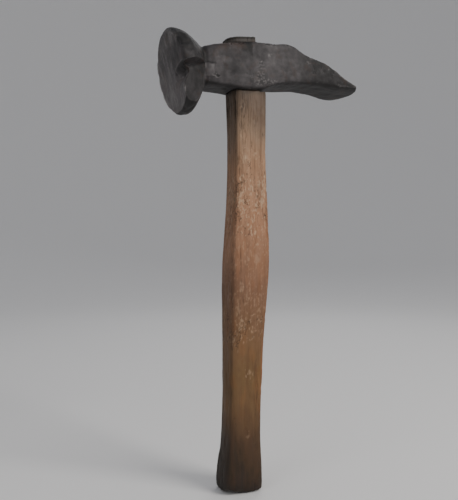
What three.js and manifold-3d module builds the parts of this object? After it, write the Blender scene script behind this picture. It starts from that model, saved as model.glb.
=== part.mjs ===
// A forged hammer with a broad round face and a wide thin pein, wedged on a wooden handle.
// Millimetres.  +Z runs up the handle, +X along the head towards the pein, and the origin is
// the middle of the handle's butt.  Pieces that touch on the real hammer keep a small gap here.
import * as THREE from 'three';
import { mergeVertices } from 'three/addons/utils/BufferGeometryUtils.js';
import Module from 'manifold-3d';

const wasm = await Module();
wasm.setup();

// Driving dimensions.

const GAP = 0.3;

// The handle's sections from the butt up into the head, whose underside then trims the shoulder.
// width is along X, and offset is how far the section's middle lies from the Z axis, because the
// handle leans a little.
const HANDLE_SECTIONS = [
  { z: 0, width: 24.6, offset: 0 },
  { z: 1.8, width: 26.6, offset: 0 },
  { z: 10, width: 26.8, offset: 0.1 },
  { z: 19, width: 25.6, offset: 0.4 },
  { z: 29, width: 23.8, offset: 0.9 },
  { z: 49, width: 22.7, offset: 1.5 },
  { z: 71, width: 23.4, offset: 2.2 },
  { z: 92, width: 24.1, offset: 2.7 },
  { z: 110, width: 25.5, offset: 3.4 },
  { z: 128, width: 27.2, offset: 4.1 },
  { z: 146, width: 27.7, offset: 4.7 },
  { z: 162, width: 26.8, offset: 5.1 },
  { z: 183, width: 24.4, offset: 5.4 },
  { z: 205, width: 22.8, offset: 5.3 },
  { z: 228, width: 22.5, offset: 5.2 },
  { z: 246, width: 23.3, offset: 4.9 },
  { z: 263, width: 24.2, offset: 4.6 },
];
const HANDLE_DEPTH_RATIO = 0.82;
const HANDLE_SQUARENESS = 5;
const HANDLE_SIDES = 40;
const HANDLE_RINGS_PER_SECTION = 2;

// The tenon fills the oblong eye and stands proud of the head.  Past SPLIT_X, towards the pein,
// it has split off lower than its sawn top.
const EYE = { x: 2.4, length: 18.4, width: 14.6, corner: 3 };
const CORNER_SEGMENTS = 5;
const TENON_ROOT = 252;
const TENON_TOP = 290;
const TENON_TOP_SLOPE = 7;
const SPLIT_X = 8.4;
const SPLIT_TOP = 287.8;

// Driving in the wedges has spread the tenon's end over the top of the head.
const SPREAD_END = { x: 0.8, length: 22.4, width: 16, corner: 6.5 };

const WOOD_WEDGE = { length: 13, thickTop: 3.2, thickTip: 0.9, depth: 24, x: 2.0, proud: 0.8 };
const STEEL_WEDGE = { length: 9.4, thickTop: 2.0, thickTip: 0.8, depth: 14, proud: 0.4 };
const STEEL_WEDGE_XS = [-2.4, 5.4];

// The head's sections from the striking face back to the pein.  pitch leans a section back,
// in degrees, so that the face looks slightly down towards the hand.
const HEAD_SECTIONS = [
  { x: -46.2, z: 263.3, pitch: 12.5, halfWidth: 24.7, halfHeight: 24.7, squareness: 2 },
  { x: -44.9, z: 263.6, pitch: 12.5, halfWidth: 26.2, halfHeight: 26.2, squareness: 2 },
  { x: -43.3, z: 263.9, pitch: 12.3, halfWidth: 26.6, halfHeight: 26.6, squareness: 2 },
  { x: -40.3, z: 264.4, pitch: 11.6, halfWidth: 26.3, halfHeight: 26.3, squareness: 2 },
  { x: -37.4, z: 264.8, pitch: 11.0, halfWidth: 25.0, halfHeight: 25.0, squareness: 2 },
  { x: -34.0, z: 265.4, pitch: 10.0, halfWidth: 21.8, halfHeight: 22.0, squareness: 2 },
  { x: -31.0, z: 266.2, pitch: 8.5, halfWidth: 18.0, halfHeight: 18.4, squareness: 2.1 },
  { x: -29.0, z: 267.0, pitch: 7.0, halfWidth: 14.2, halfHeight: 15.0, squareness: 2.5 },
  { x: -27.3, z: 267.9, pitch: 5.0, halfWidth: 11.6, halfHeight: 12.4, squareness: 3.6 },
  { x: -25.5, z: 268.4, pitch: 3.5, halfWidth: 12.1, halfHeight: 12.6, squareness: 5 },
  { x: -22.5, z: 268.8, pitch: 2, halfWidth: 12.5, halfHeight: 13.1, squareness: 5.5 },
  { x: -11.5, z: 270.1, pitch: 0, halfWidth: 13.0, halfHeight: 14.1, squareness: 6.5 },
  { x: 0.5, z: 270.5, pitch: 0, halfWidth: 13.4, halfHeight: 15.4, squareness: 7 },
  { x: 9.5, z: 271.5, pitch: 0, halfWidth: 13.4, halfHeight: 15.4, squareness: 7 },
  { x: 16.0, z: 272.5, pitch: 0, halfWidth: 13.2, halfHeight: 14.5, squareness: 7.5 },
  { x: 21.5, z: 273.7, pitch: 0, halfWidth: 13.1, halfHeight: 13.6, squareness: 7.5 },
  { x: 29.5, z: 274.8, pitch: 0, halfWidth: 13.0, halfHeight: 13.6, squareness: 7.5 },
  { x: 34.5, z: 274.4, pitch: 0, halfWidth: 13.0, halfHeight: 12.8, squareness: 7.5 },
  { x: 39.5, z: 273.4, pitch: 0, halfWidth: 13.1, halfHeight: 11.2, squareness: 7.5 },
  { x: 45.0, z: 272.4, pitch: 0, halfWidth: 13.3, halfHeight: 9.8, squareness: 7.5 },
  { x: 51.5, z: 271.6, pitch: 0, halfWidth: 13.7, halfHeight: 9.0, squareness: 7 },
  { x: 59.5, z: 270.0, pitch: 0, halfWidth: 14.6, halfHeight: 7.8, squareness: 6.5 },
  { x: 68.6, z: 266.9, pitch: 0, halfWidth: 16.3, halfHeight: 5.4, squareness: 6 },
  { x: 76.6, z: 264.5, pitch: 0, halfWidth: 17.5, halfHeight: 3.2, squareness: 5 },
  { x: 84.0, z: 263.2, pitch: 0, halfWidth: 17.7, halfHeight: 1.6, squareness: 4 },
];
const HEAD_SIDES = 48;
const HEAD_MIDDLE = 272;
const HEAD_RINGS_PER_SECTION = 2;

// The pein's edge is bowed: its corners lie behind its middle by this much.
const PEIN_BOW = 5.4;
const PEIN_BOW_START = 58;
const PEIN_END = 84;

// Hard use has broken the lower near side of the striking face's rim back to a flat, which
// goes deeper towards the neck and ends there.  The break's roof slopes up and out from the
// flat's upper edge.  x, y and z are the near end of that edge at the neck, and turn and fall
// are the directions in which it runs from there to the face.
const RIM_BREAK = {
  x: -28.4, y: -11.6, z: 268.4, turn: 115, fall: 16, length: 32, roofSlope: 16, reach: 18, drop: 40,
};

// Cutting blocks are larger than whatever they cut.
const BLOCK_SIZE = 60;

const ROUNDING_ERROR = 1e-9;

const COLOURS = {
  forgedIron: 0x3b3839,
  wood: 0x8c6544,
  wedgeWood: 0x9b7c58,
  steel: 0x55524f,
};

const Y_AXIS = new THREE.Vector3(0, 1, 0);

// Turns a closed geometry into a manifold-3d solid.
function solidOf(geometry) {
  const bare = geometry.clone();
  bare.deleteAttribute('normal');
  bare.deleteAttribute('uv');
  const merged = mergeVertices(bare, 1e-4);
  const vertProperties = new Float32Array(merged.attributes.position.array);
  const triVerts = new Uint32Array(merged.index.array);
  return new wasm.Manifold(new wasm.Mesh({ numProp: 3, vertProperties, triVerts }));
}

// Turns a manifold-3d solid back into a geometry.
function geometryOf(solid) {
  const mesh = solid.getMesh();
  const geometry = new THREE.BufferGeometry();
  geometry.setAttribute('position', new THREE.BufferAttribute(mesh.vertProperties, 3));
  geometry.setIndex(new THREE.BufferAttribute(mesh.triVerts, 1));
  geometry.computeVertexNormals();
  return geometry;
}

// Raises a value's size to a power and keeps its sign, which squares up an ellipse.  Rounding
// error is dropped first, because the power would blow it up and open the seam.
function signedPower(value, power) {
  const size = Math.abs(value) < ROUNDING_ERROR ? 0 : Math.abs(value);
  return Math.sign(value) * size ** power;
}

// The triangles that close the first end of a loft.  Each runs straight across from the upper
// half of the outline to the lower half, so that a bowed end is not hollow.
function endTriangles(firstVertex, sides) {
  const triangles = [];
  for (let i = -sides / 4; i < sides / 4; i += 1) {
    const upper = firstVertex + ((i + sides) % sides);
    const nextUpper = firstVertex + ((i + 1 + sides) % sides);
    const lower = firstVertex + sides / 2 - i;
    const nextLower = lower - 1;
    if (nextUpper !== nextLower) triangles.push(upper, nextUpper, nextLower);
    if (upper !== lower) triangles.push(upper, nextLower, lower);
  }
  return triangles;
}

// Lofts a closed body through sections.  A section has its centre, its half sizes as the
// vectors across and up, its squareness (2 is an ellipse), and how far back its sides are bowed.
// across x up points back along the loft, from the last section to the first.  sides is a
// multiple of 4.
function loft(sections, sides) {
  const geometry = new THREE.CylinderGeometry(1, 1, 1, sides, sections.length - 1, true);
  const position = geometry.attributes.position;
  const point = new THREE.Vector3();
  for (let i = 0; i < position.count; i += 1) {
    const ring = Math.round((0.5 - position.getY(i)) * (sections.length - 1));
    const { centre, across, up, squareness, bow } = sections[ring];
    const a = signedPower(position.getX(i), 2 / squareness);
    const b = signedPower(position.getZ(i), 2 / squareness);
    point.copy(centre).addScaledVector(across, a).addScaledVector(up, b);
    point.addScaledVector(bow, a * a);
    position.setXYZ(i, point.x, point.y, point.z);
  }
  const lastRing = (sections.length - 1) * (sides + 1);
  const firstEnd = endTriangles(0, sides);
  const lastEnd = endTriangles(lastRing, sides).reverse();
  geometry.setIndex([...geometry.index.array, ...firstEnd, ...lastEnd]);
  return geometry;
}

// Samples a smooth curve through a list of points, several rings for each stretch.
function ringsAlong(points, ringsPerStretch) {
  const curve = new THREE.CatmullRomCurve3(points, false, 'centripetal');
  return curve.getPoints((points.length - 1) * ringsPerStretch);
}

// The handle without its tenon, reaching up into the head.
function handleShaft() {
  const points = HANDLE_SECTIONS.map((s) => new THREE.Vector3(s.width, s.offset, s.z));
  const sections = ringsAlong(points, HANDLE_RINGS_PER_SECTION).map((ring) => ({
    centre: new THREE.Vector3(ring.y, 0, ring.z),
    across: new THREE.Vector3(ring.x / 2, 0, 0),
    up: new THREE.Vector3(0, (ring.x / 2) * HANDLE_DEPTH_RATIO, 0),
    squareness: HANDLE_SQUARENESS,
    bow: new THREE.Vector3(),
  }));
  return solidOf(loft(sections, HANDLE_SIDES));
}

// An upright bar with an oblong outline, less a clearance all round.
function oblongBar({ x, length, width, corner }, clearance, bottom, top) {
  const quarter = Math.PI / 2;
  const alongX = length / 2 - corner;
  const alongY = width / 2 - corner;
  const corners = [[alongX, alongY], [-alongX, alongY], [-alongX, -alongY], [alongX, -alongY]];
  const shape = new THREE.Shape();
  corners.forEach(([cornerX, cornerY], i) => {
    shape.absarc(x + cornerX, cornerY, corner - clearance, i * quarter, (i + 1) * quarter);
  });
  const options = { depth: top - bottom, bevelEnabled: false, curveSegments: CORNER_SEGMENTS };
  const bar = new THREE.ExtrudeGeometry(shape, options);
  bar.translate(0, 0, bottom);
  return solidOf(bar);
}

// A cutting block placed by the middle of its underside and tilted about Y.
function block(x, z, tiltDegrees) {
  const box = new THREE.BoxGeometry(BLOCK_SIZE, BLOCK_SIZE, BLOCK_SIZE);
  box.translate(0, 0, BLOCK_SIZE / 2);
  box.rotateY(THREE.MathUtils.degToRad(tiltDegrees));
  box.translate(x, 0, z);
  return solidOf(box);
}

// A wedge with its thick end up.  It runs along the head or across it, and clearance grows it
// all round for the slot that it sits in.
function wedge({ length, thickTop, thickTip, depth }, x, top, alongHead, clearance) {
  const thick = thickTop / 2 + clearance;
  const thin = thickTip / 2 + clearance;
  const outline = new THREE.Shape();
  outline.moveTo(-thin, -depth - clearance);
  outline.lineTo(thin, -depth - clearance);
  outline.lineTo(thick, clearance);
  outline.lineTo(-thick, clearance);
  outline.closePath();
  const run = length + 2 * clearance;
  const body = new THREE.ExtrudeGeometry(outline, { depth: run, bevelEnabled: false });
  body.translate(0, 0, -run / 2);
  body.rotateX(Math.PI / 2);
  if (alongHead) body.rotateZ(Math.PI / 2);
  body.translate(x, 0, top);
  return solidOf(body);
}

// The height of the tenon's sawn top at a place along the head.
function tenonTopAt(x) {
  return TENON_TOP + (x - EYE.x) * Math.tan(THREE.MathUtils.degToRad(TENON_TOP_SLOPE));
}

function woodWedge(clearance) {
  const top = tenonTopAt(WOOD_WEDGE.x) + WOOD_WEDGE.proud;
  return wedge(WOOD_WEDGE, WOOD_WEDGE.x, top, true, clearance);
}

function steelWedge(x, clearance) {
  return wedge(STEEL_WEDGE, x, tenonTopAt(x) + STEEL_WEDGE.proud, false, clearance);
}

// Everything above the tenon's sawn top and over its split-off corner.
function aboveTenon() {
  const sawn = block(EYE.x, TENON_TOP, -TENON_TOP_SLOPE);
  const split = block(SPLIT_X + BLOCK_SIZE / 2, SPLIT_TOP, 0);
  return sawn.add(split);
}

function tenon() {
  const inEye = oblongBar(EYE, GAP, TENON_ROOT, TENON_TOP + BLOCK_SIZE / 2);
  const overHead = oblongBar(SPREAD_END, 0, HEAD_MIDDLE, TENON_TOP + BLOCK_SIZE / 2);
  const spread = overHead.subtract(headForging().translate([0, 0, GAP]));
  return inEye.add(spread).subtract(aboveTenon());
}

function handle() {
  const shaft = handleShaft().subtract(headForging().translate([0, 0, -GAP]));
  let solid = shaft.add(tenon()).subtract(woodWedge(GAP));
  for (const x of STEEL_WEDGE_XS) {
    solid = solid.subtract(steelWedge(x, GAP));
  }
  return solid;
}

function woodenWedge() {
  let solid = woodWedge(0);
  for (const x of STEEL_WEDGE_XS) {
    solid = solid.subtract(steelWedge(x, GAP));
  }
  return solid;
}

function headForging() {
  const spine = HEAD_SECTIONS.map((s) => new THREE.Vector3(s.x, s.pitch, s.z));
  const girth = HEAD_SECTIONS.map((s) => new THREE.Vector3(s.halfWidth, s.squareness, s.halfHeight));
  const girthRings = ringsAlong(girth, HEAD_RINGS_PER_SECTION);
  const sections = ringsAlong(spine, HEAD_RINGS_PER_SECTION).map((ring, i) => {
    const size = girthRings[i];
    const pitch = THREE.MathUtils.degToRad(ring.y);
    const bow = PEIN_BOW * THREE.MathUtils.smoothstep(ring.x, PEIN_BOW_START, PEIN_END);
    return {
      centre: new THREE.Vector3(ring.x, 0, ring.z),
      across: new THREE.Vector3(0, size.x, 0),
      up: new THREE.Vector3(0, 0, size.z).applyAxisAngle(Y_AXIS, -pitch),
      squareness: size.y,
      bow: new THREE.Vector3(-bow, 0, 0),
    };
  });
  return solidOf(loft(sections, HEAD_SIDES));
}

// The wedge of iron that is missing from the striking face's rim.
function rimBreak() {
  const { x, y, z, turn, fall, length, roofSlope, reach, drop } = RIM_BREAK;
  const outline = new THREE.Shape();
  outline.moveTo(0, 0);
  outline.lineTo(-reach, reach * Math.tan(THREE.MathUtils.degToRad(roofSlope)));
  outline.lineTo(-reach, -drop);
  outline.lineTo(0, -drop);
  outline.closePath();
  const cutter = new THREE.ExtrudeGeometry(outline, { depth: length, bevelEnabled: false });
  cutter.translate(0, 0, -length);
  cutter.rotateX(Math.PI / 2 - THREE.MathUtils.degToRad(fall));
  cutter.rotateZ(THREE.MathUtils.degToRad(turn));
  cutter.translate(x, y, z);
  return solidOf(cutter);
}

function head() {
  const eye = oblongBar(EYE, 0, TENON_TOP - BLOCK_SIZE, TENON_TOP + BLOCK_SIZE);
  return headForging().subtract(eye).subtract(rimBreak());
}

const hammer = new THREE.Group();

function addPiece(name, solid, colour, roughness, metalness) {
  const material = new THREE.MeshStandardMaterial({ color: colour, roughness, metalness });
  const mesh = new THREE.Mesh(geometryOf(solid), material);
  mesh.name = name;
  hammer.add(mesh);
}

addPiece('head', head(), COLOURS.forgedIron, 0.62, 0.75);
addPiece('handle', handle(), COLOURS.wood, 0.7, 0);
addPiece('wooden_wedge', woodenWedge(), COLOURS.wedgeWood, 0.75, 0);
STEEL_WEDGE_XS.forEach((x, i) => {
  addPiece(`steel_wedge_${i + 1}`, steelWedge(x, 0), COLOURS.steel, 0.5, 0.85);
});

export default hammer;
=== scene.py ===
"""The looks of a worn forged hammer with a wooden handle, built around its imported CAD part.

The functions that shape and paint the pieces work in millimetres in the part's own frame:
+Z runs up the handle, +X along the head towards the pein, and the camera is on the -Y side.
Surfaces are only ever sunk below the CAD part's, so that nothing grows past its gaps.
"""

import math

import bmesh
import bpy
import numpy as np
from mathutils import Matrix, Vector, noise
from mathutils.bvhtree import BVHTree


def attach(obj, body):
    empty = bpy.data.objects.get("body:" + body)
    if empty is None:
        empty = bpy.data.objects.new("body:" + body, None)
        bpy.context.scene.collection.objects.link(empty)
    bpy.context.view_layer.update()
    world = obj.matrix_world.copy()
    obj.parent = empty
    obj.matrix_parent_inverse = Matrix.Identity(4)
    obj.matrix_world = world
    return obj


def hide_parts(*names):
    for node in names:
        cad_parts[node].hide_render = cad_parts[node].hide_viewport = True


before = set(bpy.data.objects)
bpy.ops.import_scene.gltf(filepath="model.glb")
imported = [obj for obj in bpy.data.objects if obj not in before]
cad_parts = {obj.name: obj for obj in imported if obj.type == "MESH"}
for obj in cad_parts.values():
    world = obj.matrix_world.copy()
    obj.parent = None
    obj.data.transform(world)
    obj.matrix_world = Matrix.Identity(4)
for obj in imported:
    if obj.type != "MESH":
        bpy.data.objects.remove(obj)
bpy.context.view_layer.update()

MM = 0.001

# The size of the small faces that the pieces are rebuilt from.
HEAD_GRAIN = 0.5
TENON_GRAIN = 0.3
WEDGE_GRAIN = 0.3
SHAFT_RINGS = 430
SHAFT_SIDES = 290

# The eye in the head, which the tenon fills.
EYE_X = 2.4
EYE_HALF_LENGTH = 9.2
EYE_HALF_WIDTH = 7.3

# The striking face, which leans a little down towards the hand.
FACE_MIDDLE = (-46.2, 0, 263.3)
FACE_PITCH = math.radians(12.5)

# The handle's shaft ends at its shoulder under the head, and above this height is only the
# tenon, which is drawn out down to its root inside the shaft.
TENON_ONLY = 262.0
TENON_ROOT = 246.0
SHOULDER_SEARCH = 236.0

# The tenon's end above the middle of the eye, and how it slopes up along the head.
TENON_TOP = 290.0
TENON_TOP_SLOPE = math.radians(7)

# The camera looks level from beside the striking face, at the middle of the hammer's height.
CAMERA_AZIMUTH = -23.0
CAMERA_DISTANCE = 390 * MM
CAMERA_HEIGHT = 154 * MM
CAMERA_SIDESTEP = -10.4 * MM
CAMERA_AXIS_X = 4.3 * MM
CAMERA_LENS = 43.2
CAMERA_SENSOR = 36.0


# Fields over points in millimetres.  Each returns one value for each point.


def smoothstep(low, high, value):
    """0 below low, 1 above high and a smooth ramp between them."""
    t = np.clip((value - low) / (high - low), 0, 1)
    return t * t * (3 - 2 * t)


def between(low, high, value, soft):
    """1 where value lies between low and high, fading out over soft on both sides."""
    return smoothstep(low - soft, low, value) * (1 - smoothstep(high, high + soft, value))


def clouds(at, size, octaves=3, shift=0.0):
    """Smooth noise around 0, whose largest blobs are size wide.  size may differ by axis."""
    scaled = at / np.asarray(size, float) + shift
    return np.array([noise.fractal(point, 0.9, 2.0, octaves) for point in scaled.tolist()])


def cells(at, size, shift=0.0):
    """The distances to the nearest and second nearest of scattered points size apart."""
    scaled = at / np.asarray(size, float) + shift
    found = [noise.voronoi(point)[0] for point in scaled.tolist()]
    return np.array([near[0] for near in found]), np.array([near[1] for near in found])


def blob(at, centre, radii):
    """1 at the centre and 0 outside the radii."""
    distance = np.sqrt((((at - np.asarray(centre)) / np.asarray(radii)) ** 2).sum(axis=1))
    return 1 - smoothstep(0.35, 1.0, distance)


# Meshes.


def new_object(name, mesh):
    piece = bpy.data.objects.new(name, mesh)
    bpy.context.scene.collection.objects.link(piece)
    return piece


def evenly_meshed(name, mesh, grain):
    """The same closed surface, rebuilt from small faces of one size."""
    rough = new_object(name, mesh)
    modifier = rough.modifiers.new("even", "REMESH")
    modifier.mode = "VOXEL"
    modifier.voxel_size = grain * MM
    graph = bpy.context.evaluated_depsgraph_get()
    fine = bpy.data.meshes.new_from_object(rough.evaluated_get(graph))
    fine.name = name
    bpy.data.objects.remove(rough)
    return fine


def cad_copy(node):
    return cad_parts[node].data.copy()


def points_of(mesh):
    flat = np.empty(len(mesh.vertices) * 3, np.float32)
    mesh.vertices.foreach_get("co", flat)
    return flat.reshape(-1, 3).astype(float) / MM


def normals_of(mesh):
    flat = np.empty(len(mesh.vertices) * 3, np.float32)
    mesh.vertices.foreach_get("normal", flat)
    return flat.reshape(-1, 3).astype(float)


def edges_of(mesh):
    flat = np.empty(len(mesh.edges) * 2, np.int32)
    mesh.edges.foreach_get("vertices", flat)
    return flat.reshape(-1, 2)


def move_to(mesh, at):
    mesh.vertices.foreach_set("co", (at * MM).astype(np.float32).ravel())
    mesh.update()


def sink(mesh, depth):
    """Moves each vertex in along its normal by its depth in millimetres."""
    move_to(mesh, points_of(mesh) - normals_of(mesh) * depth[:, None])


def paint(mesh, name, values):
    """Stores a value for each vertex, which the mesh's material reads by that name."""
    attribute = mesh.attributes.new(name, "FLOAT", "POINT")
    attribute.data.foreach_set("value", np.clip(values, 0, 1).astype(np.float32))


def averaged(values, edges, rounds):
    """Values blurred over the mesh, by so many rounds of averaging with the neighbours."""
    first, second = edges.T
    count = len(values)
    neighbours = np.bincount(edges.ravel(), minlength=count)
    for _ in range(rounds):
        total = np.bincount(first, values[second], count) + np.bincount(second, values[first], count)
        values = (values + total / np.maximum(neighbours, 1)) / 2
    return values


def height_over_surroundings(mesh, rounds):
    """How far each vertex stands proud of its blurred surroundings, in millimetres."""
    at = points_of(mesh)
    edges = edges_of(mesh)
    blurred = np.stack([averaged(at[:, axis], edges, rounds) for axis in range(3)], axis=1)
    return ((at - blurred) * normals_of(mesh)).sum(axis=1)


def finish_piece(name, mesh, material, slot, *nodes):
    """Shows a rebuilt piece in place of its CAD nodes."""
    mesh.materials.clear()
    mesh.materials.append(material)
    mesh.polygons.foreach_set("use_smooth", [True] * len(mesh.polygons))
    piece = new_object(name, mesh)
    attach(piece, "root")
    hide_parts(*nodes)
    return piece


# Materials.


class Shader:
    """A material with a principled shader, and short ways to add nodes to it."""

    def __init__(self, name):
        self.material = bpy.data.materials.new(name)
        self.material.use_nodes = True
        self.tree = self.material.node_tree
        self.principled = self.tree.nodes["Principled BSDF"]
        place = self.tree.nodes.new("ShaderNodeTexCoord")
        self.place = place.outputs["Object"]

    def set(self, node, socket, value):
        """Sets a socket to a constant, or links it to another socket."""
        if isinstance(value, bpy.types.NodeSocket):
            self.tree.links.new(value, node.inputs[socket])
        else:
            node.inputs[socket].default_value = value

    def finish(self, **sockets):
        for socket, value in sockets.items():
            self.set(self.principled, socket.replace("_", " "), value)
        return self.material

    def painted(self, name):
        node = self.tree.nodes.new("ShaderNodeAttribute")
        node.attribute_name = name
        return node.outputs["Fac"]

    def stretched(self, scale):
        """Object coordinates in millimetres, multiplied by a scale for each axis."""
        node = self.tree.nodes.new("ShaderNodeMapping")
        self.set(node, "Vector", self.place)
        self.set(node, "Scale", tuple(factor / MM for factor in scale))
        return node.outputs["Vector"]

    def noise(self, size, detail=4.0, roughness=0.6, distortion=0.0):
        """Noise from 0 to 1, whose blobs are size millimetres wide along each axis."""
        node = self.tree.nodes.new("ShaderNodeTexNoise")
        self.set(node, "Vector", self.stretched(tuple(1 / width for width in size)))
        self.set(node, "Scale", 1.0)
        self.set(node, "Detail", detail)
        self.set(node, "Roughness", roughness)
        self.set(node, "Distortion", distortion)
        return node.outputs["Fac"]

    def ramp(self, value, stops):
        """A colour for a value, from stops of (position, colour)."""
        node = self.tree.nodes.new("ShaderNodeValToRGB")
        self.set(node, "Fac", value)
        elements = node.color_ramp.elements
        while len(elements) < len(stops):
            elements.new(0.5)
        for element, (position, colour) in zip(elements, stops):
            element.position = position
            element.color = (*colour, 1)
        return node.outputs["Color"]

    def mix(self, factor, first, second, blend="MIX"):
        """Two colours mixed by a factor."""
        node = self.tree.nodes.new("ShaderNodeMix")
        node.data_type = "RGBA"
        node.blend_type = blend
        colour_sockets = [socket for socket in node.inputs if socket.type == "RGBA"]
        factor_socket = node.inputs[0]
        for socket, value in ((factor_socket, factor), *zip(colour_sockets, (first, second))):
            if isinstance(value, bpy.types.NodeSocket):
                self.tree.links.new(value, socket)
            elif isinstance(value, tuple):
                socket.default_value = (*value, 1)
            else:
                socket.default_value = value
        return next(socket for socket in node.outputs if socket.type == "RGBA")

    def spread(self, value, low, high, to_low=0.0, to_high=1.0):
        """A value's range from low to high stretched to another range, and clamped to it."""
        node = self.tree.nodes.new("ShaderNodeMapRange")
        self.set(node, "Value", value)
        self.set(node, "From Min", low)
        self.set(node, "From Max", high)
        self.set(node, "To Min", to_low)
        self.set(node, "To Max", to_high)
        return node.outputs["Result"]

    def maths(self, operation, first, second):
        node = self.tree.nodes.new("ShaderNodeMath")
        node.operation = operation
        for socket, value in zip(node.inputs, (first, second)):
            if isinstance(value, bpy.types.NodeSocket):
                self.tree.links.new(value, socket)
            else:
                socket.default_value = value
        return node.outputs["Value"]

    def bump(self, height, depth, strength=1.0):
        """A fine relief of so many millimetres from a height of 0 to 1."""
        node = self.tree.nodes.new("ShaderNodeBump")
        self.set(node, "Height", height)
        self.set(node, "Distance", depth * MM)
        self.set(node, "Strength", strength)
        return node.outputs["Normal"]


IRON_BY_TONE = [
    (0.10, (0.012, 0.011, 0.011)),
    (0.45, (0.040, 0.036, 0.037)),
    (0.70, (0.075, 0.068, 0.069)),
    (1.00, (0.150, 0.138, 0.138)),
]
BARE_IRON = (0.34, 0.32, 0.31)
RUST = (0.075, 0.036, 0.020)


def forged_iron():
    """Old black forge scale, with bare worn metal, rust in the hollows, dirt, and painted shade, highlights
    and reflections carried in its tone and wear.
    """
    shader = Shader("forged_iron")
    mottle = shader.noise((10, 10, 10), detail=6.0, roughness=0.6)
    tone = shader.maths("ADD", shader.painted("tone"), shader.spread(mottle, 0.25, 0.75, -0.11, 0.11))
    colour = shader.ramp(tone, IRON_BY_TONE)
    speckled = shader.spread(shader.noise((2, 2, 2), detail=7.0, roughness=0.75), 0.40, 0.60, 0.4, 1.0)
    rust = shader.maths("MULTIPLY", shader.painted("rust"), speckled)
    colour = shader.mix(rust, colour, RUST)
    fine = shader.noise((1.1, 1.1, 1.1), detail=5.0, roughness=0.7)
    worn = shader.maths("MULTIPLY", shader.painted("worn"), shader.spread(fine, 0.35, 0.65, 0.35, 1.0))
    colour = shader.mix(worn, colour, BARE_IRON)
    roughness = shader.spread(worn, 0.0, 1.0, 0.66, 0.36)
    metallic = shader.spread(worn, 0.0, 1.0, 0.25, 0.9)
    relief = shader.bump(shader.noise((0.8, 0.8, 0.8), detail=6.0, roughness=0.7), 0.08, 0.6)
    return shader.finish(Base_Color=colour, Roughness=roughness, Metallic=metallic, Normal=relief)


WOOD_BY_HEIGHT = [
    (0.02, (0.034, 0.022, 0.016)),
    (0.06, (0.044, 0.028, 0.015)),
    (0.10, (0.076, 0.043, 0.023)),
    (0.18, (0.168, 0.096, 0.043)),
    (0.26, (0.172, 0.099, 0.042)),
    (0.33, (0.200, 0.108, 0.052)),
    (0.45, (0.224, 0.117, 0.069)),
    (0.58, (0.400, 0.210, 0.120)),
    (0.72, (0.400, 0.226, 0.130)),
    (0.80, (0.315, 0.208, 0.132)),
    (0.86, (0.212, 0.146, 0.101)),
    (0.90, (0.150, 0.115, 0.090)),
    (0.95, (0.095, 0.089, 0.085)),
]
GRAIN_BROWN = (0.105, 0.050, 0.024)
CREAM = (0.600, 0.430, 0.280)
ORANGE_STAIN_AND_GLOW = (0.330, 0.120, 0.035)
WOOD_GRIME_AND_SHADE = (0.022, 0.018, 0.014)
CRACK_DARK = (0.012, 0.008, 0.006)


def handle_wood():
    """Old varnished wood, rubbed by hands, cracked along the grain, dirty, and with painted shade under the
    head and down its left side.
    """
    shader = Shader("handle_wood")
    height = shader.painted("height")
    cloudy = shader.noise((14, 14, 40), detail=3.0)
    wavering = shader.maths("ADD", height, shader.spread(cloudy, 0.2, 0.8, -0.05, 0.05))
    colour = shader.ramp(wavering, WOOD_BY_HEIGHT)
    grain = shader.noise((0.9, 0.9, 38), detail=5.0, roughness=0.65)
    colour = shader.mix(shader.spread(grain, 0.46, 0.72, 0.0, 0.48), colour, GRAIN_BROWN)
    bands = shader.noise((3.2, 3.2, 90), detail=3.0)
    colour = shader.mix(shader.spread(bands, 0.5, 0.72, 0.0, 0.32), colour, GRAIN_BROWN)
    dull = shader.noise((7, 7, 11), detail=4.0)
    colour = shader.mix(shader.spread(dull, 0.5, 0.75, 0.0, 0.35), colour, GRAIN_BROWN)
    # Orange stains, and a painted glow on the handle's right side.
    colour = shader.mix(shader.painted("stain"), colour, ORANGE_STAIN_AND_GLOW)
    colour = shader.mix(shader.painted("peel"), colour, CREAM)
    # Dirt, and painted shade under the head and down the left side.
    colour = shader.mix(shader.painted("grime_and_shade"), colour, WOOD_GRIME_AND_SHADE)
    colour = shader.mix(shader.painted("crack"), colour, CRACK_DARK)
    gloss = shader.noise((6, 6, 18), detail=4.0)
    roughness = shader.spread(gloss, 0.3, 0.7, 0.45, 0.70)
    relief = shader.bump(shader.noise((0.5, 0.5, 14), detail=4.0), 0.10, 0.7)
    return shader.finish(Base_Color=colour, Roughness=roughness, Specular_IOR_Level=0.25, Normal=relief)


def wedge_wood():
    """The end grain of a hammered-in hardwood wedge."""
    shader = Shader("wedge_wood")
    grain = shader.noise((4.0, 0.5, 30), detail=4.0)
    colour = shader.ramp(grain, [(0.35, (0.085, 0.058, 0.036)), (0.65, (0.210, 0.148, 0.095))])
    colour = shader.mix(shader.painted("grime_and_shade"), colour, WOOD_GRIME_AND_SHADE)
    relief = shader.bump(grain, 0.15, 0.8)
    return shader.finish(Base_Color=colour, Roughness=0.8, Normal=relief)


def wedge_steel():
    """Hammered steel with a little rust."""
    shader = Shader("wedge_steel")
    mottle = shader.noise((2.5, 2.5, 2.5), detail=6.0, roughness=0.7)
    colour = shader.ramp(mottle, [(0.38, (0.070, 0.040, 0.026)), (0.58, (0.200, 0.190, 0.185))])
    roughness = shader.spread(mottle, 0.35, 0.65, 0.75, 0.42)
    relief = shader.bump(mottle, 0.15, 0.7)
    return shader.finish(Base_Color=colour, Roughness=roughness, Metallic=0.85, Normal=relief)


# The head.


def away_from_eye(at):
    """0 on the eye's wall and 1 a little way outside it."""
    x, y, _ = at.T
    along = np.abs(x - EYE_X) / EYE_HALF_LENGTH
    across = np.abs(y) / EYE_HALF_WIDTH
    return smoothstep(1.04, 1.25, (along**6 + across**6) ** (1 / 6))


def hammer_marks(at, size, depth, shift):
    """Shallow dishes left by hammer blows, side by side."""
    near, _ = cells(at, size, shift)
    return depth * (1 - smoothstep(0.0, 0.75, near))


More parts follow.
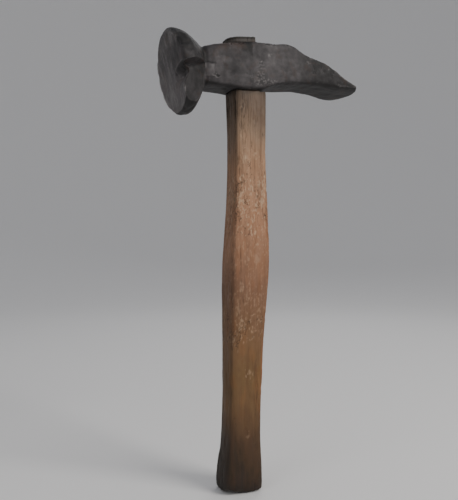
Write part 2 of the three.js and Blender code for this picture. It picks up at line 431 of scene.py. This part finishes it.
def pits(at, size, depth, shift):
    """Scattered small pits, in patches."""
    patches = smoothstep(-0.05, 0.4, clouds(at, 14, 2, shift))
    return depth * patches * smoothstep(0.22, 0.5, clouds(at, size, 2, shift + 7.3))


def below_chip_edge(at):
    """How far each point is below the arched upper edge of the flake off the striking face."""
    _, y, z = at.T
    return 265.2 - 0.014 * (y + 21) ** 2 - z


def face_chip(at):
    """How deep the flake is that has broken off the striking face, from 0 to 1."""
    below = below_chip_edge(at)
    return smoothstep(0, 5.0, below) * (1 - smoothstep(5.0, 14, below))


def without_face_chip(at):
    """The points with the flake cut away that has broken off the striking face at the broken
    rim: it slopes in below its arched upper edge and out again further down."""
    x, y, _ = at.T
    out = np.array((-math.cos(FACE_PITCH), 0, -math.sin(FACE_PITCH)))
    proud = (at - np.array(FACE_MIDDLE)) @ out
    depth = 4.6 * face_chip(at) * (1 - smoothstep(-13, -4, y)) + 0.4 * face_chip(at) * clouds(at, 4, 3, 81.0)
    near_face = x < -36
    return at - np.outer((proud + depth).clip(0) * near_face * (depth > 0.05), out)


def head_depth(at, normal):
    x, y, z = at.T
    on_face = smoothstep(0.6, 0.9, -normal[:, 0]) * (x < -40)
    depth = hammer_marks(at, 10.0, 0.34, 1.7)
    depth += hammer_marks(at, 5.0, 0.10, 5.1) * (1 - 0.5 * on_face)
    depth += 0.14 * (clouds(at, 5.0, 4, 2.2) + 0.6).clip(0)
    depth += 0.05 * np.abs(clouds(at, 1.7, 3, 8.8))
    depth += pits(at, 1.3, 0.15, 3.3) * (x > -38)
    rim = smoothstep(21.5, 25.5, np.hypot(y, z - 263.5)) * (x < -34)
    depth += rim * 0.55 * smoothstep(-0.1, 0.5, clouds(at, 9, 2, 6.1))
    pein_edge = smoothstep(80, 84, x)
    depth += pein_edge * 0.6 * smoothstep(0.0, 0.4, clouds(at, 3.5, 3, 9.4))
    near_side = y < 0
    depth += near_side * 0.6 * blob(at, (-19.6, -12.6, 261.4), (1.7, 3, 1.1))
    depth += near_side * 0.3 * blob(at, (-22.0, -12.6, 262.0), (1.3, 3, 0.8))
    specks = near_side * between(7, 21, x, 3) * between(258.5, 263, z, 1.5)
    depth += specks * 0.12 * smoothstep(0.05, 0.3, clouds(at, 1.2, 2, 4.4))
    top_edge = between(-26, 48, x, 3) * smoothstep(0.25, 0.6, normal[:, 2]) * smoothstep(9, 12, np.abs(y))
    depth += top_edge * 0.8 * smoothstep(0.2, 0.45, clouds(at, (3.2, 6, 6), 2, 71.0))
    return depth * away_from_eye(at)


def sides_of_head(at, normal):
    """How far each point belongs to the near side, the face, the underside and the bell."""
    x = at[:, 0]
    near = smoothstep(0.3, 0.8, -normal[:, 1]) * (x > -28)
    face = smoothstep(0.6, 0.9, -normal[:, 0]) * (x < -40)
    under = smoothstep(0.35, 0.8, -normal[:, 2])
    bell = (x < -29) * (1 - face)
    return near, face, under, bell


def far_rim_wear_and_highlight(at):
    """The far edge of the striking face, rubbed bare and painted lighter as a highlight along the rim."""
    x, y, z = at.T
    edge = smoothstep(22.2, 23.6, np.hypot(y, z - FACE_MIDDLE[2]) + 0.4 * clouds(at, 3, 2, 53.0))
    return (x < -42) * edge * between(252, 276, z, 6) * smoothstep(8, 16, y)


def head_tone(at, normal):
    """How light the scale is painted, from 0 to 1: mostly in patches on the near side, with painted shade on
    the underside, bell, pein, neck and flake, and painted light on the face, far rim and broken ceiling.
    """
    x, y, z = at.T
    near, face, under, bell = sides_of_head(at, normal)
    ragged = clouds(at, 6, 4, 15.5)
    wandering = clouds(at, 14, 3, 16.5)
    bright_patch = between(-29.5, -22.0, x + ragged, 0.6) * between(261, 268.3, z + ragged, 0.7)
    scratch = between(-29, -21, x, 1) * between(268.9, 269.5, z + 0.5 * ragged, 0.3)
    cheek = between(-20.5, -11, x + 2 * ragged, 1.5) * between(264.5, 273, z + 2 * ragged, 1.5)
    low_band = between(-21, 0, x + 3 * ragged, 2) * between(258.5, 263, z + ragged, 1.5)
    light_zone = smoothstep(11, 17, x + 3 * ragged) * between(263, 288, z, 3)
    light_zone *= 1 - smoothstep(22, 37, x + 3 * ragged)
    stain = between(-4, 3.5, x + 2 * ragged, 1.0) * smoothstep(273, 279, z + 4 * ragged)
    middle = between(-14, 3, x + 3 * ragged, 3) * smoothstep(261, 266, z + 3 * ragged)
    # Painted reflection: the down-facing ceiling of the broken rim is painted lighter, for the floor it
    # faces.
    roof_painted_light = smoothstep(0.2, 0.6, -normal[:, 2]) * (x < -29) * (z > 258) * (y < -8)
    wall = blob(at, (-38, -19, 264.5), (6, 6, 4)) * smoothstep(-0.1, 0.2, clouds(at, 1.3, 3, 28.0))
    near_neck = smoothstep(0.2, 0.6, -normal[:, 1]) * (x < -29)
    lower_edge = smoothstep(0.35, 0.7, -normal[:, 1]) * smoothstep(0.25, 0.6, -normal[:, 2])
    lower_edge *= between(-16, 26, x + 4 * ragged, 5)
    # Painted shade: a dark wedge on the near side below the neck, where the bell shades the body.
    painted_neck_shadow = smoothstep(0, 1.5, 259.6 - 0.18 * (x + 28.4) - z) * (1 - smoothstep(-12, -6, x))
    # Painted shade: a short dark line on the near side of the neck.
    crease_shadow = near_neck * between(-32.4, -31.2, x, 0.6) * between(271, 277, z, 1.5)
    tone = 0.50 + near * (0.32 * bright_patch + 0.14 * cheek + 0.14 * light_zone + 0.10 * low_band)
    tone += 0.14 * smoothstep(0.3, 0.8, normal[:, 1]) * (x > -42) - near * 0.25 * painted_neck_shadow
    tone += 0.22 * lower_edge - near * (0.38 * stain + 0.08 * middle + 0.3 * scratch)
    # Painted shade: the iron is painted darker towards the pein's tip, where its side turns away from the
    # light.
    tone -= 0.16 * smoothstep(34, 44, x + 2 * wandering) + 0.18 * smoothstep(45, 48, x + 3 * wandering)
    # Painted reflection: the lower part of the striking face is painted lighter, for the floor it tilts
    # towards.
    tone += face * (0.26 * (1 - smoothstep(258, 268, z)) - 0.09) - 0.3 * crease_shadow
    # Painted shade: the bell is painted darker, most of all at its top.
    tone -= bell * (0.26 + 0.14 * smoothstep(268, 276, z))
    # A painted highlight along the far rim and a painted reflection on the broken ceiling lighten the tone.
    tone += 0.4 * far_rim_wear_and_highlight(at) + 0.45 * roof_painted_light + 0.2 * wall
    # Painted shade: a dark band just below the flake's arched upper edge on the face.
    arch_shadow = (x < -36) * between(0.8, 5.0, below_chip_edge(at), 0.7) * (1 - smoothstep(-12, -7, y))
    tone -= 0.22 * arch_shadow * (1 - near_neck)
    patches = 0.12 * clouds(at, 9, 4, 25.0) + 0.14 * clouds(at, 3, 3, 26.0)
    # Painted shade: the underside is painted darker.
    return tone - 0.28 * under + patches * (1 - 0.6 * under)


def head_rust(at, normal):
    """Brown rust, in a patch on the near side's upper edge beside the tenon and in spots."""
    x, y, z = at.T
    near = smoothstep(-0.2, 0.3, -normal[:, 1])
    ragged = clouds(at, 5, 4, 33.0)
    patch = near * between(-16, -2, x + 2 * ragged, 2.5) * smoothstep(277, 282, z + 3 * ragged)
    spots = smoothstep(0.28, 0.5, clouds(at, 6, 4, 35.0))
    return 0.40 * patch + 0.22 * spots


def head_worn(mesh, at, normal):
    """Where the scale is rubbed off to bare metal: edges, high spots and specks."""
    x, y, z = at.T
    near, face, under, bell = sides_of_head(at, normal)
    edges = smoothstep(0.06, 0.25, height_over_surroundings(mesh, 14))
    spots = smoothstep(0.012, 0.05, height_over_surroundings(mesh, 2))
    uneven = smoothstep(-0.35, 0.35, clouds(at, 7, 3, 12.0))
    worn = 0.33 * edges * (0.3 + 0.7 * uneven) + 0.18 * spots * uneven
    specks = between(7, 20, x, 4) * between(258.8, 262.6, z, 1.5)
    specks = np.maximum(specks, 0.6 * between(7.5, 11.5, x, 1.5) * between(262, 272, z, 2))
    specks *= smoothstep(0.05, 0.3, clouds(at, 1.1, 2, 21.0))
    streaks = smoothstep(0.05, 0.4, clouds(at, (3, 1.6, 14), 3, 31.0))
    marks = blob(at, (44, -13.2, 276.6), (2.4, 3, 1.8)) + blob(at, (58.5, -14, 274.0), (1.4, 3, 1.2))
    marks += blob(at, (15.9, -13, 278), (2.4, 3, 1.8)) + blob(at, (10, -13, 273.6), (3.0, 3, 0.8))
    # The spot on the bell's top near the neck is a painted highlight, made as bare worn metal.
    marks += 1.5 * blob(at, (-33.5, -5, 280), (2.2, 6, 2.2))
    marks *= smoothstep(-0.1, 0.3, clouds(at, 1.2, 2, 23.0))
    # The far rim is worn bare here as part of its painted highlight.
    worn += 0.4 * near * specks + 0.35 * marks + 0.9 * far_rim_wear_and_highlight(at)
    worn += face * (0.15 + 0.25 * streaks)
    broken = (x < -30) * between(256, 275, z, 4) * (1 - smoothstep(-8, -2, y))
    return worn * (1 - 0.6 * under) * (1 - 0.75 * broken)


def head_hollows_and_neck_shade(mesh, at):
    """Darker in the hollows, and painted shade in the neck where the bell meets the body."""
    x, y, z = at.T
    hollows = smoothstep(0.04, 0.2, -height_over_surroundings(mesh, 14))
    neck = np.exp(-(((x + 28.6) / 1.3) ** 2)) * (np.hypot(y, z - 267) < 17)
    return 0.18 * hollows + 0.25 * neck


def make_head():
    mesh = evenly_meshed("head_iron", cad_copy("head"), HEAD_GRAIN)
    move_to(mesh, without_face_chip(points_of(mesh)))
    sink(mesh, head_depth(points_of(mesh), normals_of(mesh)))
    at = points_of(mesh)
    normal = normals_of(mesh)
    paint(mesh, "worn", head_worn(mesh, at, normal))
    paint(mesh, "tone", head_tone(at, normal) - head_hollows_and_neck_shade(mesh, at))
    paint(mesh, "rust", head_rust(at, normal))
    finish_piece("head_iron", mesh, forged_iron(), "forged_iron", "head")


# The handle.


def shaft_surface():
    """The CAD handle as something to shoot rays at, in metres."""
    shape = bmesh.new()
    shape.from_mesh(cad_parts["handle"].data)
    tree = BVHTree.FromBMesh(shape)
    shape.free()
    return tree


def hit(tree, start, direction):
    found, _, _, _ = tree.ray_cast(Vector(start) * MM, Vector(direction))
    return np.array(found) / MM


def shaft_middle(tree, height):
    left = hit(tree, (-60, 0, height), (1, 0, 0))
    right = hit(tree, (60, 0, height), (-1, 0, 0))
    return (left[0] + right[0]) / 2


def shaft_rings(tree):
    """Rings of points on the CAD handle's surface, from the butt to the shoulder."""
    low = 0.4
    angles = np.linspace(0, 2 * math.pi, SHAFT_SIDES, endpoint=False)
    top_middle = shaft_middle(tree, SHOULDER_SEARCH)
    shoulder = []
    for angle in angles:
        out = np.array((math.cos(angle), math.sin(angle), 0))
        edge = hit(tree, (top_middle, 0, SHOULDER_SEARCH), out)
        inside = edge - out * 0.8
        shoulder.append(hit(tree, inside, (0, 0, 1))[2] - 0.4)
    rings = []
    for share in np.linspace(0, 1, SHAFT_RINGS):
        middle = shaft_middle(tree, low + share * (min(shoulder) - low))
        ring = []
        for angle, top in zip(angles, shoulder):
            height = low + share * (top - low)
            out = (math.cos(angle), math.sin(angle), 0)
            ring.append(hit(tree, (middle, 0, height), out))
        rings.append(np.array(ring))
    return rings


def shrunk(ring, share, height_change):
    """A ring drawn in towards its middle, for the ends of the shaft."""
    middle = ring.mean(axis=0)
    inner = middle + (ring - middle) * share
    inner[:, 2] = ring[:, 2] * share + middle[2] * (1 - share) + height_change
    return inner


def worn_butt(points):
    """The butt's edges knocked round, most of all at the near corner below the face."""
    x, y, z = points.T
    middle_x, middle_y = x.mean(), y.mean()
    out = np.maximum(np.abs(x - middle_x) / 13.2, np.abs(y - middle_y) / 10.8)
    edge = smoothstep(0.62, 1.0, out)
    corner = smoothstep(2, 12, middle_x - x) * smoothstep(0, 9, middle_y - y)
    lift = edge * (0.5 + 2.2 * corner + 0.5 * clouds(points, 6, 2, 61.0))
    return points + np.outer(lift * (1 - smoothstep(0, 5, z)), (0, 0, 1))


def shaft_mesh_data():
    tree = shaft_surface()
    rings = shaft_rings(tree)
    butt = rings[0]
    shoulder = rings[-1]
    butt_cap = [shrunk(butt, share, -0.38 * (1 - share) ** 0.3) for share in (0.02, 0.3, 0.6, 0.85, 0.96)]
    top_cap = [shrunk(shoulder, share, 0.35) for share in (0.96, 0.85, 0.7, 0.5, 0.2)]
    rings = butt_cap + rings + top_cap
    points = worn_butt(np.concatenate(rings))
    faces = []
    for row in range(len(rings) - 1):
        for side in range(SHAFT_SIDES):
            after = (side + 1) % SHAFT_SIDES
            low = row * SHAFT_SIDES
            high = low + SHAFT_SIDES
            faces.append((low + side, low + after, high + after, high + side))
    last = (len(rings) - 1) * SHAFT_SIDES
    faces.append(tuple(range(SHAFT_SIDES - 1, -1, -1)))
    faces.append(tuple(range(last, last + SHAFT_SIDES)))
    return points, faces


def tenon_mesh():
    """The CAD handle's tenon with its wedge slots, drawn out down to its root."""
    shape = bmesh.new()
    shape.from_mesh(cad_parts["handle"].data)
    bmesh.ops.remove_doubles(shape, verts=shape.verts, dist=0.001 * MM)
    everything = shape.verts[:] + shape.edges[:] + shape.faces[:]
    cut_at = (0, 0, TENON_ONLY * MM)
    bmesh.ops.bisect_plane(shape, geom=everything, plane_co=cut_at, plane_no=(0, 0, 1), clear_inner=True)
    rim = [edge for edge in shape.edges if edge.is_boundary]
    bmesh.ops.holes_fill(shape, edges=rim)
    for vertex in shape.verts:
        if vertex.co.z < (TENON_ONLY + 0.01) * MM:
            vertex.co.z = TENON_ROOT * MM
    mesh = bpy.data.meshes.new("tenon")
    shape.to_mesh(mesh)
    shape.free()
    return evenly_meshed("tenon", mesh, TENON_GRAIN)


def joined(name, *parts):
    """One mesh from several lists of points in millimetres and faces."""
    points = np.concatenate([part[0] for part in parts])
    faces = []
    start = 0
    for part_points, part_faces in parts:
        faces += [tuple(start + corner for corner in face) for face in part_faces]
        start += len(part_points)
    mesh = bpy.data.meshes.new(name)
    mesh.from_pydata((points * MM).tolist(), [], faces)
    mesh.update()
    return mesh


def cracks(at, shift, width):
    """Thin lines along the grain, 1 in their middle."""
    line = np.abs(clouds(at, (5.5, 5.5, 95), 3, shift))
    return 1 - smoothstep(0.0, width, line)


def on_shaft(at):
    """1 on the shaft and 0 on the tenon."""
    return 1 - smoothstep(257.2, 257.6, at[:, 2])


def handle_cracks(at):
    x, y, z = at.T
    towards_face = 1 - 0.75 * smoothstep(-2.5, 1.5, x)
    near_head = smoothstep(205, 240, z) * towards_face
    everywhere = smoothstep(0.10, 0.35, clouds(at, (6, 6, 45), 2, 3.0))
    lines = cracks(at, 1.0, 0.05) * np.maximum(near_head, 0.4 * everywhere)
    lines = np.maximum(lines, cracks(at, 11.0, 0.045) * near_head)
    lines = np.maximum(lines, cracks(at, 23.0, 0.03) * 0.6 * everywhere)
    short = 1 - smoothstep(0.0, 0.09, np.abs(clouds(at, (2.6, 2.6, 20), 2, 37.0)))
    lines = np.maximum(lines, short * blob(at, (-0.5, -10, 238), (5, 5, 13)))
    return lines * on_shaft(at)


# Where the varnish is scuffed off in one piece on the near side: x, z, half width, half height
# and how much.
SCUFFS = [
    (-3.6, 243.0, 2.4, 5.5, 0.40),
    (-2.8, 225.0, 1.6, 3.4, 0.55),
    (-0.2, 211.5, 2.0, 3.6, 0.9),
    (7.3, 215.0, 1.8, 2.4, 0.8),
    (7.3, 148.6, 3.6, 4.8, 0.35),
    (-2.7, 129.8, 1.8, 1.8, 0.5),
    (2.3, 123.3, 3.0, 0.9, 0.6),
    (5.2, 113.3, 2.6, 0.9, 0.6),
    (2.1, 36.0, 2.2, 2.0, 0.3),
]


def varnish_zones(at):
    """Where the varnish has gone: mostly above the swell, and in a patch below it."""
    x, y, z = at.T
    uneven = 14 * clouds(at, (9, 9, 15), 3, 13.0)
    above = between(168, 198, z + uneven, 14)
    below = 0.6 * between(98, 108, z + 0.5 * uneven, 5)
    below += 0.45 * between(72, 79, z + 0.3 * uneven, 4) * between(0, 5, x + 0.2 * uneven, 2)
    elsewhere = 0.35 * between(110, 215, z + uneven, 8)
    return np.maximum(np.maximum(above, below), elsewhere)


def peel_amount(at):
    """Where the varnish has flaked off to pale wood, in small flakes and a few larger scuffs."""
    zones = varnish_zones(at)
    flakes = clouds(at, (1.1, 1.1, 2.2), 4, 4.0) + 0.5 * clouds(at, (4, 4, 9), 2, 14.0)
    peeled = zones * smoothstep(0.30 - 0.14 * zones, 0.55, flakes)
    ragged = at + np.outer(clouds(at, 2.5, 3, 17.0), (1.5, 1.5, 3.0))
    for x, z, half_width, half_height, amount in SCUFFS:
        peeled = np.maximum(peeled, amount * blob(ragged, (x, -11, z), (half_width, 4, half_height)))
    return peeled


def crazing(at):
    """Short cracks across the varnish that is about to flake, 1 in their middle."""
    nearest, second = cells(at + np.outer(clouds(at, 3, 2, 18.0), (1, 1, 1)), (2.4, 2.4, 3.4), 19.0)
    lines = 1 - smoothstep(0.0, 0.12, second - nearest)
    patches = smoothstep(0.0, 0.3, clouds(at, (5, 5, 9), 2, 20.0))
    return lines * patches * smoothstep(0.3, 0.6, varnish_zones(at)) * on_shaft(at)


def handle_depth(at, normal):
    depth = 0.35 * (clouds(at, (14, 14, 34), 2, 6.0) + 0.5).clip(0)
    depth += 0.10 * np.abs(clouds(at, (1.3, 1.3, 45), 3, 7.0))
    near, _ = cells(at, (7, 7, 16), 2.0)
    depth += 0.22 * smoothstep(0.1, 0.5, clouds(at, (4, 4, 9), 2, 9.0))
    depth += 0.08 * (1 - smoothstep(0, 0.7, near))
    depth += 0.55 * handle_cracks(at)
    depth += 0.12 * peel_amount(at) + 0.10 * crazing(at)
    return depth * on_shaft(at) + tenon_depth(at, normal)


def tenon_depth(at, normal):
    """The crushed fibres on the tenon's end."""
    z = at[:, 2]
    end = smoothstep(0.75, 0.95, normal[:, 2]) * (z > 280)
    fibres = np.abs(clouds(at, (1.2, 1.2, 6), 3, 5.0)) + 0.35 * (clouds(at, 4, 2, 8.0) + 0.5).clip(0)
    spread_side = (1 - end) * smoothstep(285.5, 287, z)
    splinters = 0.3 * np.abs(clouds(at, (1.4, 1.4, 9), 3, 6.0))
    return 0.7 * end * fibres + spread_side * splinters


def paint_handle(mesh, at, normal):
    x, y, z = at.T
    paint(mesh, "height", z / 291)
    paint(mesh, "crack", np.maximum(0.6 * handle_cracks(at), 0.75 * crazing(at)))
    paint(mesh, "peel", 0.55 * peel_amount(at))
    side = smoothstep(0.45, 0.9, -normal[:, 0])
    rubbed = clouds(at, (8, 8, 26), 3, 41.0)
    under_head = smoothstep(196, 228, z + 6 * rubbed) * on_shaft(at)
    near_head = smoothstep(222, 246, z + 4 * rubbed) * on_shaft(at)
    low = 1 - smoothstep(125, 150, z)
    hollows = smoothstep(0.02, 0.10, -height_over_surroundings(mesh, 6))
    # Darker in the hollows, and painted shade down the left side, most of all under the head.
    grime_and_shade = 0.30 * hollows + 0.24 * side * under_head
    grime_and_shade += 0.12 * side * between(170, 222, z, 14)
    # Painted shade down the whole left side, deeper low down and towards the back.
    grime_and_shade += side * (0.28 + 0.10 * low + 0.16 * low * smoothstep(2, 8, y))
    # Painted shade under the head, deeper towards the face.
    grime_and_shade += near_head * (0.32 + 0.20 * (1 - smoothstep(-8, 1, x))) * (1 - 0.75 * side)
    # Painted shade darkening the front towards its left corner.
    grime_and_shade += 0.10 * (1 - smoothstep(-9, 1, x)) * (1 - side)
    # Darker on the side facing +X.
    grime_and_shade += 0.12 * smoothstep(0.2, 0.8, normal[:, 0])
    # Painted shadow in a band just under the head.
    grime_and_shade += 0.4 * smoothstep(252, 257, z) * on_shaft(at)
    # Painted shade over the butt's left side, and darker towards the bottom.
    butt = 1 - smoothstep(30, 52, z)
    butt_shade = 1 - smoothstep(-4, 3, x + 0.24 * (z - 16.7) + 4 * rubbed)
    grime_and_shade += butt * (0.06 + 0.26 * butt_shade) + 0.3 * (1 - smoothstep(2, 9, z))
    tenon = 1 - on_shaft(at)
    end = smoothstep(0.85, 0.97, normal[:, 2])
    below_top = TENON_TOP + (x - EYE_X) * math.tan(TENON_TOP_SLOPE) - z
    grime_and_shade += tenon * (0.25 + 0.20 * (1 - end) + (0.4 * end + 0.15) * clouds(at, 3, 3, 44.0))
    grime_and_shade += tenon * (1 - end) * 0.7 * (1 - smoothstep(1.3, 1.9, below_top))
    paint(mesh, "grime_and_shade", grime_and_shade)
    stain_and_glow_band = (1 - smoothstep(176, 186, z)) * smoothstep(40, 60, z)
    # Painted light: the orange on the right-facing side stands in for that edge's lit glow; the blotches are
    # stains.
    right = smoothstep(0.25, 0.75, normal[:, 0]) * (0.35 + 0.35 * between(66, 92, z, 5))
    blotches = smoothstep(0.1, 0.5, clouds(at, (7, 7, 22), 3, 51.0))
    paint(mesh, "stain", stain_and_glow_band * (right + 0.14 * blotches))


def make_handle():
    tenon = tenon_mesh()
    tenon_data = (points_of(tenon), [tuple(polygon.vertices) for polygon in tenon.polygons])
    mesh = joined("handle_wood", shaft_mesh_data(), tenon_data)
    at = points_of(mesh)
    normal = normals_of(mesh)
    sink(mesh, handle_depth(at, normal))
    at = points_of(mesh)
    normal = normals_of(mesh)
    paint_handle(mesh, at, normal)
    finish_piece("handle_wood", mesh, handle_wood(), "handle_wood", "handle")


# The wedges.


def make_wedge(node, material, slot):
    name = node + "_worn"
    mesh = evenly_meshed(name, cad_copy(node), WEDGE_GRAIN)
    at = points_of(mesh)
    end = smoothstep(0.7, 0.95, normals_of(mesh)[:, 2])
    battered = np.abs(clouds(at, (1.5, 1.5, 6), 3, 5.0)) + 0.3 * (clouds(at, 5, 2, 8.0) + 0.5).clip(0)
    sink(mesh, 0.04 + 0.5 * end * battered)
    at = points_of(mesh)
    paint(mesh, "grime_and_shade", 0.6 * smoothstep(-0.1, 0.5, clouds(at, 2, 3, 3.0)))
    finish_piece(name, mesh, material, slot, node)


# The studio.


def make_camera():
    azimuth = math.radians(CAMERA_AZIMUTH)
    back = Vector((math.sin(azimuth), -math.cos(azimuth), 0))
    right = Vector((math.cos(azimuth), math.sin(azimuth), 0))
    data = bpy.data.cameras.new("camera")
    data.sensor_fit = "VERTICAL"
    data.sensor_height = CAMERA_SENSOR
    data.lens = CAMERA_LENS
    data.clip_start = 0.01
    camera = bpy.data.objects.new("camera", data)
    camera.location = back * CAMERA_DISTANCE + right * CAMERA_SIDESTEP
    camera.location += Vector((CAMERA_AXIS_X, 0, CAMERA_HEIGHT))
    camera.rotation_euler = (math.pi / 2, 0, azimuth)
    bpy.context.scene.collection.objects.link(camera)
    bpy.context.scene.camera = camera


STUDIO_RADIUS = 1.2
STUDIO_CURVE = 1.6
STUDIO_WALL = 0.5
STUDIO_SIDES = 96
FLOOR_HEIGHT = -0.0002


def make_studio():
    """A pale floor that curves up into a round wall."""
    profile = [(0.0, 0.0), (STUDIO_RADIUS * 0.5, 0.0)]
    for step in range(17):
        turn = step / 16 * math.pi / 2
        out = STUDIO_RADIUS + STUDIO_CURVE * math.sin(turn)
        profile.append((out, STUDIO_CURVE * (1 - math.cos(turn))))
    profile.append((STUDIO_RADIUS + STUDIO_CURVE, STUDIO_CURVE + STUDIO_WALL))
    points = []
    faces = []
    for radius, height in profile:
        for side in range(STUDIO_SIDES):
            angle = 2 * math.pi * side / STUDIO_SIDES
            points.append((radius * math.cos(angle), radius * math.sin(angle), height + FLOOR_HEIGHT))
    for ring in range(len(profile) - 1):
        for side in range(STUDIO_SIDES):
            after = (side + 1) % STUDIO_SIDES
            low = ring * STUDIO_SIDES
            high = low + STUDIO_SIDES
            faces.append((low + side, low + after, high + after, high + side))
    mesh = bpy.data.meshes.new("studio")
    mesh.from_pydata(points, [], faces)
    mesh.polygons.foreach_set("use_smooth", [True] * len(mesh.polygons))
    studio = new_object("studio", mesh)
    shader = Shader("studio")
    mesh.materials.append(shader.finish(Base_Color=(0.88, 0.87, 0.86, 1), Roughness=0.9))


def make_light(name, location, target, size, power, colour=(1, 1, 1)):
    data = bpy.data.lights.new(name, "AREA")
    data.size = size
    data.energy = power
    data.color = colour
    light = bpy.data.objects.new(name, data)
    light.location = location
    light.rotation_euler = (Vector(target) - Vector(location)).to_track_quat("-Z", "Y").to_euler()
    bpy.context.scene.collection.objects.link(light)


def make_sky(colour, strength):
    world = bpy.data.worlds.new("sky")
    bpy.context.scene.world = world
    world.use_nodes = True
    background = world.node_tree.nodes["Background"]
    background.inputs["Color"].default_value = (*colour, 1)
    background.inputs["Strength"].default_value = strength


make_head()
make_handle()
make_wedge("wooden_wedge", wedge_wood(), "wedge_wood")
make_wedge("steel_wedge_1", wedge_steel(), "wedge_steel")
make_wedge("steel_wedge_2", wedge_steel(), "wedge_steel")

make_camera()
make_studio()
make_light("key", (0.55, -0.75, 0.75), (0, 0, 0.17), 0.5, 7.2, (1.0, 0.97, 0.93))
make_light("fill", (-0.95, -0.5, 0.5), (0, 0, 0.2), 0.6, 1.95, (1.0, 0.99, 1.0))
make_light("back", (0.6, 0.85, 1.0), (0, 0, 0.2), 0.6, 2.6, (1.0, 0.99, 0.98))
make_sky((0.9, 0.93, 1.0), 0.35)
